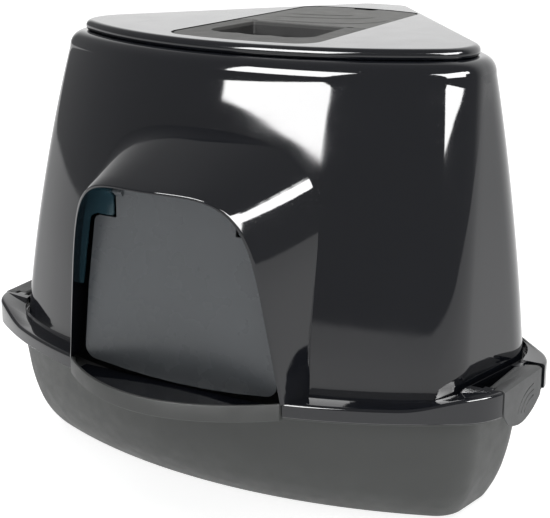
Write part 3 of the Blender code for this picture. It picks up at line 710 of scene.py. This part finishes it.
# ---------------------------------------------------------------- tray
def build_tray():
    """The litter tray with a smooth taper, a rounded foot, a rim shelf and the doorstep."""
    foot = inset(TRAY_FOOT, 0.005)
    rim = inset(FLANGE, WALL + FIT)
    rim_in = inset(FLANGE, WALL + FIT + 0.0022)
    rings = [ring(inset(foot, 0.0008), 0.0), ring(foot, 0.0008), ring(foot, 0.0036)]
    levels = []
    for (low, _), (high, _) in zip(TRAY_RISE, TRAY_RISE[1:]):
        levels += [low + (high - low) * k / 6 for k in range(6)]
    for z in levels:
        rings.append(ring(blend(TRAY_FOOT, TRAY_TOP, curved(TRAY_RISE, z)), z))
    rings.append(ring(inset(TRAY_TOP, 0.0004), SHELF_Z - 0.0004))
    rings.append(ring(inset(TRAY_TOP, -0.0010), SHELF_Z))
    rings.append(doorstep(ring(inset(rim, 0.0006), SHELF_Z + 0.0001), 0.0007))
    rings.append(doorstep(ring(rim, SHELF_Z + 0.0007), 0.0))
    rings.append(doorstep(ring(rim, 0.1260), 0.0, FLANGE_Z - 0.0008))
    rings.append(doorstep(ring(inset(rim, 0.0003), 0.1266), 0.0003, FLANGE_Z - 0.0002))
    rings.append(doorstep(ring(inset(rim, 0.0009), 0.1268), 0.0009, FLANGE_Z))
    rings.append(doorstep(ring(rim_in, 0.1268), 0.0026, FLANGE_Z))
    rings.append(doorstep(ring(rim_in, SHELF_Z + 0.0026), 0.0026))
    for z in reversed(levels[3:] + [SHELF_Z]):
        share = 1.0 if z == SHELF_Z else curved(TRAY_RISE, z)
        lift = 0.0025 if z == SHELF_Z else 0.0012
        rings.append(ring(inset(blend(TRAY_FOOT, TRAY_TOP, share), TRAY_WALL), z + lift))
    rings.append(ring(inset(TRAY_FOOT, 0.005 + TRAY_WALL), 0.0045))
    tray = smooth(loft("tray_body", rings), 40.0)
    dress(tray, TRAY_MAT, "tray", "tray_plastic", "litter_tray")


# ---------------------------------------------------------------- flap
def build_flap():
    """The swinging flap, softly edged, with its pegs."""
    corners = [(0.0, 0.1225, 0), (0.030, 0.1232, 0), (0.060, 0.1252, 0), (0.104, 0.1300, 0.012),
               (0.0965, 0.200, 0), (0.0862, SHOULDER_Z, 0.006),
               (TAB_HALF, SHOULDER_Z, 0.0008), (TAB_HALF, HINGE_Z + 0.0065, 0.003),
               (0.0, HINGE_Z + 0.0065, 0)]
    left = [(-x, z, reach) for x, z, reach in reversed(corners[1:-1])]
    flap = prism("flap_sheet", rounded(corners + left, 8), "Y", HINGE_Y - FLAP_THICK / 2,
                 HINGE_Y + FLAP_THICK / 2)
    for sign in (-1, 1):
        union(flap, rod("knuckle", 0.0038, (sign * (TAB_HALF - 0.008), HINGE_Y, HINGE_Z),
                        (sign * TAB_HALF, HINGE_Y, HINGE_Z)))
        union(flap, rod("peg", PEG_R, (sign * (TAB_HALF - 0.004), HINGE_Y, HINGE_Z),
                        (sign * (EAR_X + 0.0070), HINGE_Y, HINGE_Z)))
    soften(flap, 0.0005, 3)
    dress(flap, FLAP_MAT, "flap", "flap_plastic", "door_flap")


# ---------------------------------------------------------------- latches
def side_x(y, z_inset=0.0):
    """X of the flange's side line at y."""
    side, wide, _ = corner_points(inset(FLANGE, z_inset))
    return side.x + (wide.x - side.x) * (y - side.y) / (wide.y - side.y)


def pad_solid():
    """The finger pad: a D-shaped plate that follows the flange's side."""
    corners = [(LATCH_FRONT, 0.1390, 0.0006), (LATCH_FRONT, 0.1175, 0.004), (-0.0880, 0.1035, 0.007),
               (-0.0640, 0.0975, 0.012), (-0.0410, 0.1048, 0.009), (LATCH_REAR, 0.1145, 0.003),
               (LATCH_REAR, 0.1390, 0.0006)]
    points = rounded(corners, 8)
    rings = [[(side_x(p.x, depth), p.x, p.y) for p in points] for depth in (0.0002, 0.0022)]
    return loft("latch_pad_right", rings)


def groove(radius):
    """One curved groove across the pad, as a bent bar of radius 0.65 mm."""
    centre_y, centre_z = -0.0415, 0.1030
    bar = 0.00065
    rings = []
    for k in range(25):
        turn = math.radians(92 + 72 * k / 24)
        out = Vector((0.0, math.cos(turn), math.sin(turn)))
        y = centre_y + radius * out.y * 1.25
        z = centre_z + radius * out.z
        middle = Vector((side_x(y, 0.0002), y, z))
        rings.append([middle + out * (bar * math.cos(a)) + Vector((bar * math.sin(a), 0, 0))
                      for a in [math.tau * j / 10 for j in range(10)]])
    return loft("groove", rings)


def build_latches():
    """Both latches: pad with three curved grooves, arm and hinge barrel."""
    latch = pad_solid()
    for radius in (0.0150, 0.0205, 0.0260):
        cut(latch, groove(radius))
    arm = []
    for y in (LATCH_FRONT, LATCH_REAR):
        outer = side_x(y, 0.0002)
        arm.append([(PIVOT_X, y, PIVOT_Z + 0.0034), (outer - 0.0050, y, 0.1404),
                    (outer - 0.0020, y, 0.1400), (outer - 0.0004, y, 0.1390), (outer - 0.0004, y, 0.1365),
                    (outer - 0.0030, y, 0.1372), (PIVOT_X, y, PIVOT_Z + 0.0004)])
    union(latch, loft("arm", arm))
    for start, end in ((LATCH_FRONT - 0.001, BARREL_FRONT), (BARREL_REAR, LATCH_REAR + 0.001)):
        points = [(PIVOT_X - 0.010, start), (PIVOT_X + 0.0048, start),
                  (PIVOT_X + 0.0048, end), (PIVOT_X - 0.010, end)]
        cut(latch, prism("relief", points, "Z", 0.120, 0.150))
    union(latch, rod("barrel", BARREL_R, (PIVOT_X, BARREL_FRONT, PIVOT_Z),
                     (PIVOT_X, BARREL_REAR, PIVOT_Z)))
    cut(latch, rod("bore", PIN_R + FIT, (PIVOT_X, LATCH_FRONT, PIVOT_Z),
                   (PIVOT_X, LATCH_REAR, PIVOT_Z)))
    left = mirrored(latch, "latch_pad_left")
    for obj, body, node in ((latch, "right_latch", "latch_right"), (left, "left_latch", "latch_left")):
        soften(obj, 0.0005, 3)
        dress(obj, LATCH_MAT, body, "latch_plastic", node)


# ---------------------------------------------------------------- top cover, handle and lid
def rounded(corners, steps=10):
    """A closed outline from (x, y, reach) corners. A reach of 0 keeps a plain point."""
    points = []
    count = len(corners)
    for i, (x, y, reach) in enumerate(corners):
        here = Vector((x, y))
        if reach == 0:
            points.append(here)
            continue
        before = Vector(corners[i - 1][:2])
        after = Vector(corners[(i + 1) % count][:2])
        arrive = (here - before).normalized()
        leave = (after - here).normalized()
        points.append(here - arrive * reach)
        points += bend_points(points[-1], arrive, here + leave * reach, leave, steps)
    return points


def grown(points, distance):
    """A counterclockwise outline moved outward by distance."""
    moved = []
    for i, point in enumerate(points):
        arrive = (point - points[i - 1]).normalized()
        leave = (points[(i + 1) % len(points)] - point).normalized()
        moved.append(offset_corner(point, arrive, leave, -distance))
    return moved


def panel_outline():
    """The opening in the top cover, counterclockwise."""
    right = [(0.0, -0.0990, 0), (0.030, -0.0976, 0), (0.0550, -0.0942, 0), (0.0785, -0.0890, 0.020),
             (0.0660, 0.1600, 0.012), (0.030, 0.1682, 0), (0.0, 0.1700, 0)]
    left = [(-x, y, reach) for x, y, reach in reversed(right[1:-1])]
    return rounded(right + left)


def clip_box(name, front, rear):
    """A block that spans the whole panel between two y values."""
    points = [(-0.2, front), (0.2, front), (0.2, rear), (-0.2, rear)]
    return prism(name, points, "Z", 0.36, 0.45)


def build_top_cover():
    """The top cover: a plate with a full round edge and a seat for the panel."""
    rings = [ring(inset(COVER, 0.0095), SEAT_Z + 0.0020), ring(inset(COVER, 0.0095), 0.4020),
             ring(inset(COVER, 0.0070), 0.4020), ring(inset(COVER, 0.0070), DECK_Z + FIT),
             ring(inset(COVER, 0.0022), DECK_Z + FIT), ring(inset(COVER, 0.0012), 0.4098),
             ring(inset(COVER, 0.0004), 0.4110), ring(COVER, 0.4125)]
    for k in range(13):
        turn = math.pi / 2 * k / 12
        rings.append(ring(inset(COVER, 0.0060 * (1 - math.cos(turn))),
                          0.4135 + (TOP_Z - 0.4135) * math.sin(turn)))
    rings.append(ring(inset(COVER, 0.0075), TOP_Z))
    cover = loft("cover_plate", rings)
    opening = panel_outline()
    union(cover, prism("seat", grown(opening, 0.0030), "Z", 0.4120, SEAT_Z + 0.0030))
    cut(cover, prism("recess", opening, "Z", SEAT_Z, 0.430))
    cut(cover, prism("through", grown(opening, -0.0040), "Z", 0.400, 0.430))
    smooth(cover, 34.0)
    dress(cover, COVER_MAT, "hood", "cover_plastic", "top_cover")


def hand_hole():
    """The grip opening, with three shallow finger waves along its front edge."""
    right = [(0.0, -0.0590, 0), (0.0085, -0.0580, 0), (0.0170, -0.0550, 0), (0.0260, -0.0570, 0),
             (0.0350, -0.0575, 0), (0.0560, -0.0500, 0.012), (0.0500, SEAM_Y - 0.0022, 0.002)]
    left = [(-x, y, reach) for x, y, reach in reversed(right[1:])]
    return rounded(right + left)


def build_handle_frame():
    """The handle panel, the lip under its grip opening, the filter basket and the knuckles."""
    opening = panel_outline()
    hole = hand_hole()
    panel = prism("handle_panel", grown(opening, -PANEL_GAP), "Z", SEAT_Z + FIT, PANEL_TOP)
    trim(panel, clip_box("front_part", -0.2, SEAM_Y - 0.0004))
    cut(panel, prism("grip_hole", hole, "Z", 0.390, 0.430))
    soften(panel, 0.0007)
    lip = prism("grip_lip", grown(hole, 0.0022), "Z", 0.4060, SEAT_Z + 0.0010)
    cut(lip, prism("grip_hole", hole, "Z", 0.390, 0.430))
    soften(lip, 0.0004, 2)
    basket = prism("filter_basket", grown(opening, -0.0048), "Z", BASKET_FLOOR, BASKET_TOP)
    trim(basket, clip_box("rear_part", SEAM_Y - 0.0020, 0.2))
    hollow = prism("hollow", grown(opening, -0.0070), "Z", BASKET_FLOOR + 0.002, 0.430)
    trim(hollow, clip_box("hollow_part", SEAM_Y + 0.0002, 0.2))
    cut(basket, hollow)
    for row in range(SLOT_ROWS):
        y = SLOT_START + SLOT_PITCH * row
        slot = rounded([(-0.046, y, 0.0018), (0.046, y, 0.0018), (0.046, y + SLOT_WIDE, 0.0018),
                        (-0.046, y + SLOT_WIDE, 0.0018)], 5)
        cut(basket, prism("slot", slot, "Z", BASKET_FLOOR - 0.002, BASKET_FLOOR + 0.004))
    soften(basket, 0.0003, 2)
    parts = [panel, lip, basket]
    for sign, name in ((1, "knuckle_right"), (-1, "knuckle_left")):
        x = sign * (KNUCKLE_X + KNUCKLE_WIDE / 2)
        side = [(LID_AXIS_Y - 0.0052, 0.4090), (LID_AXIS_Y + 0.0010, 0.4090),
                (LID_AXIS_Y + 0.0021, LID_AXIS_Z - 0.0004),
                (LID_AXIS_Y + 0.0015, LID_AXIS_Z + 0.0016), (LID_AXIS_Y, LID_AXIS_Z + 0.0022),
                (LID_AXIS_Y - 0.0015, LID_AXIS_Z + 0.0016), (LID_AXIS_Y - 0.0052, 0.4140)]
        knuckle = prism(name, side, "X", x - KNUCKLE_WIDE / 2, x + KNUCKLE_WIDE / 2)
        cut(knuckle, rod("pin_hole", LID_PIN_R + FIT, (x - 0.01, LID_AXIS_Y, LID_AXIS_Z),
                         (x + 0.01, LID_AXIS_Y, LID_AXIS_Z)))
        soften(knuckle, 0.0003, 2)
        parts.append(knuckle)
    for obj in parts:
        # The lip and the basket get the near-black matte: painted shade inside the grip opening.
        look = BASKET_SHADE_MAT if obj in (lip, basket) else HANDLE_MAT
        dress(obj, look, "hood", "handle_plastic", "handle_frame")


def lid_rib(name, start, middle, end):
    """A low curved rib on the lid, through three points, fading out at both ends."""
    start, middle, end = Vector(start), Vector(middle), Vector(end)
    pull = middle * 2 - (start + end) / 2
    rings = []
    steps = 40
    for k in range(steps + 1):
        t = k / steps
        here = start * (1 - t) ** 2 + pull * (2 * t * (1 - t)) + end * t * t
        along = ((pull - start) * (1 - t) + (end - pull) * t).normalized()
        across = Vector((-along.y, along.x))
        fade = max(0.05, min(1.0, 6 * t, 6 * (1 - t))) ** 0.5
        points = []
        for j in range(13):
            turn = math.pi * j / 12
            side = across * (0.0024 * fade * math.cos(turn))
            points.append((here.x + side.x, here.y + side.y,
                           PANEL_TOP - 0.0004 + 0.0011 * fade * math.sin(turn)))
        rings.append(points)
    return smooth(loft(name, rings), 50.0)


def build_filter_lid():
    """The lid over the filter, with its barrel, thumb notch and ribs."""
    opening = panel_outline()
    lid = prism("lid_panel", grown(opening, -PANEL_GAP), "Z", LID_FLOOR, PANEL_TOP)
    trim(lid, clip_box("rear_part", LID_AXIS_Y, 0.2))
    reach = 0.0680
    union(lid, rod("barrel", LID_BARREL_R, (-reach, LID_AXIS_Y, LID_AXIS_Z),
                   (reach, LID_AXIS_Y, LID_AXIS_Z)))
    for sign in (-1, 1):
        x = sign * (KNUCKLE_X + KNUCKLE_WIDE / 2)
        half = KNUCKLE_WIDE / 2 + 0.0004
        gap = [(x - half, LID_AXIS_Y - 0.006), (x + half, LID_AXIS_Y - 0.006),
               (x + half, LID_AXIS_Y + 0.0030), (x - half, LID_AXIS_Y + 0.0030)]
        cut(lid, prism("knuckle_gap", gap, "Z", 0.400, 0.430))
    cut(lid, rod("bore", LID_PIN_R + FIT, (-0.08, LID_AXIS_Y, LID_AXIS_Z),
                 (0.08, LID_AXIS_Y, LID_AXIS_Z)))
    thumb = rounded([(-0.0135, 0.1590, 0.006), (0.0135, 0.1590, 0.006), (0.0135, 0.180, 0),
                     (-0.0135, 0.180, 0)])
    cut(lid, prism("thumb_notch", thumb, "Z", 0.400, 0.430))
    soften(lid, 0.0004, 3)
    ribs = [lid_rib("lid_rib_1", (-0.058, 0.092), (-0.003, 0.1015), (0.012, 0.116)),
            lid_rib("lid_rib_2", (-0.059, 0.068), (0.019, 0.086), (0.037, 0.114)),
            lid_rib("lid_rib_3", (-0.058, 0.040), (0.040, 0.054), (0.057, 0.109))]
    dress(lid, LID_MAT, "lid", "lid_plastic", "filter_lid")
    for rib in ribs:
        dress(rib, LID_MAT, "lid", "lid_plastic")


def build_filter():
    """The carbon foam in the basket, with soft edges and a slightly uneven face."""
    block = prism("foam_block", grown(panel_outline(), -0.0085), "Z", BASKET_FLOOR + 0.0023, 0.4040)
    trim(block, clip_box("pad_part", SEAM_Y + 0.0048, 0.2))
    soften(block, 0.0012, 4)
    dress(block, FOAM_MAT, "hood", "filter_foam", "carbon_filter")


# ---------------------------------------------------------------- studio
CAMERA_TURN = math.radians(30.711)
CAMERA_PITCH = math.radians(16.662)
CAMERA_PLACE = (0.6856, -1.1735, 0.5967)

# A light's turn, height, wide, tall and roll are degrees, its distance is metres, and its glow is
# the brightness of its face. turn 0 is straight in front of the door and turn 90 is to the right.
Light = namedtuple("Light", "turn height wide tall distance glow roll")

KEY = Light(-7.5, 32.0, 37.0, 33.0, 2.0, 23.0, -6.0)
SIDE = Light(70.0, 32.0, 42.0, 29.0, 2.0, 23.0, 0.0)
EDGE = Light(100.0, 34.0, 16.0, 11.0, 2.0, 23.0, 0.0)
TOP = Light(0.0, 84.0, 60.0, 60.0, 2.4, 1.6, 0.0)


def build_camera():
    data = bpy.data.cameras.new("camera")
    data.sensor_width = 36.0
    data.lens = 93.72
    data.clip_end = 50.0
    camera = bpy.data.objects.new("camera", data)
    camera.location = CAMERA_PLACE
    camera.rotation_euler = (math.pi / 2 - CAMERA_PITCH, 0.0, CAMERA_TURN)
    bpy.context.scene.collection.objects.link(camera)
    bpy.context.scene.camera = camera


def soft_box(name, place, target, width, height, power, roll):
    """A rectangular soft light at place, facing target and rolled about its own axis."""
    data = bpy.data.lights.new(name, "AREA")
    data.shape = "RECTANGLE"
    data.size = width
    data.size_y = height
    data.energy = power
    lamp = bpy.data.objects.new(name, data)
    lamp.location = place
    facing = Vector(target) - Vector(place)
    aim = facing.to_track_quat("-Z", "Y").to_matrix()
    lamp.rotation_euler = (aim @ Matrix.Rotation(math.radians(roll), 3, "Z")).to_euler()
    bpy.context.scene.collection.objects.link(lamp)
    return lamp


def light_from(name, light, target):
    """A soft box at a turn and a height in degrees seen from target, as wide and tall as it looks."""
    turn, height = math.radians(light.turn), math.radians(light.height)
    away = Vector((math.sin(turn) * math.cos(height), -math.cos(turn) * math.cos(height),
                   math.sin(height)))
    place = Vector(target) + away * light.distance
    width = 2 * light.distance * math.tan(math.radians(light.wide) / 2)
    tall = 2 * light.distance * math.tan(math.radians(light.tall) / 2)
    return soft_box(name, place, target, width, tall, math.pi * width * tall * light.glow,
                    light.roll)


def build_world():
    """A white room that is brightest behind the object and dim behind the camera."""
    world = bpy.data.worlds.new("studio")
    bpy.context.scene.world = world
    world.use_nodes = True
    tree = world.node_tree
    tree.nodes.clear()
    out = tree.nodes.new("ShaderNodeOutputWorld")
    room = tree.nodes.new("ShaderNodeBackground")
    place = tree.nodes.new("ShaderNodeTexCoord")
    split = tree.nodes.new("ShaderNodeSeparateXYZ")
    tree.links.new(place.outputs["Generated"], split.inputs["Vector"])
    back = tree.nodes.new("ShaderNodeMapRange")
    back.interpolation_type = "SMOOTHSTEP"
    for socket, number in zip(("From Min", "From Max", "To Min", "To Max"), (0.40, 0.80, 0.33, 1.30)):
        back.inputs[socket].default_value = number
    tree.links.new(split.outputs["Y"], back.inputs["Value"])
    tree.links.new(back.outputs["Result"], room.inputs["Strength"])
    room.inputs["Color"].default_value = (1.0, 1.0, 1.0, 1.0)
    tree.links.new(room.outputs["Background"], out.inputs["Surface"])


def build_floor():
    """A plain pale floor, with a little glow so that it stays even."""
    bm = bmesh.new()
    bmesh.ops.create_grid(bm, x_segments=2, y_segments=2, size=14.0)
    floor = make_object("floor", bm)
    mat, tree, shader = nodes_of("pale_floor")
    tree.links.new(between(tree, noise(tree, 2.0), (0.50, 0.50, 0.50), (0.53, 0.53, 0.53)),
                   shader.inputs["Base Color"])
    shader.inputs["Roughness"].default_value = 0.9
    shader.inputs["Specular IOR Level"].default_value = 0.1
    shader.inputs["Emission Color"].default_value = (1.0, 1.0, 1.0, 1.0)
    shader.inputs["Emission Strength"].default_value = 0.86
    floor.data.materials.append(mat)
    floor.location.z = -0.0002


def build_lights():
    for name, light, target in (("key", KEY, (0.0, -0.13, 0.38)), ("side", SIDE, (0.2, -0.07, 0.35)),
                                ("edge", EDGE, (0.1, -0.17, 0.30))):
        light_from(name, light, target).visible_diffuse = False
    light_from("top", TOP, (0.0, 0.0, 0.2)).visible_glossy = False


# ---------------------------------------------------------------- everything together
build_camera()
build_hood()
build_ears()
build_shade_plate()
build_tray()
build_flap()
build_latches()
build_top_cover()
build_handle_frame()
build_filter_lid()
build_filter()
for pin in ("latch_pin_right", "latch_pin_left", "lid_hinge_pin"):
    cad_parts[pin].data.materials[0] = PIN_MAT
build_world()
build_floor()
build_lights()
bpy.context.scene.view_settings.view_transform = "Standard"
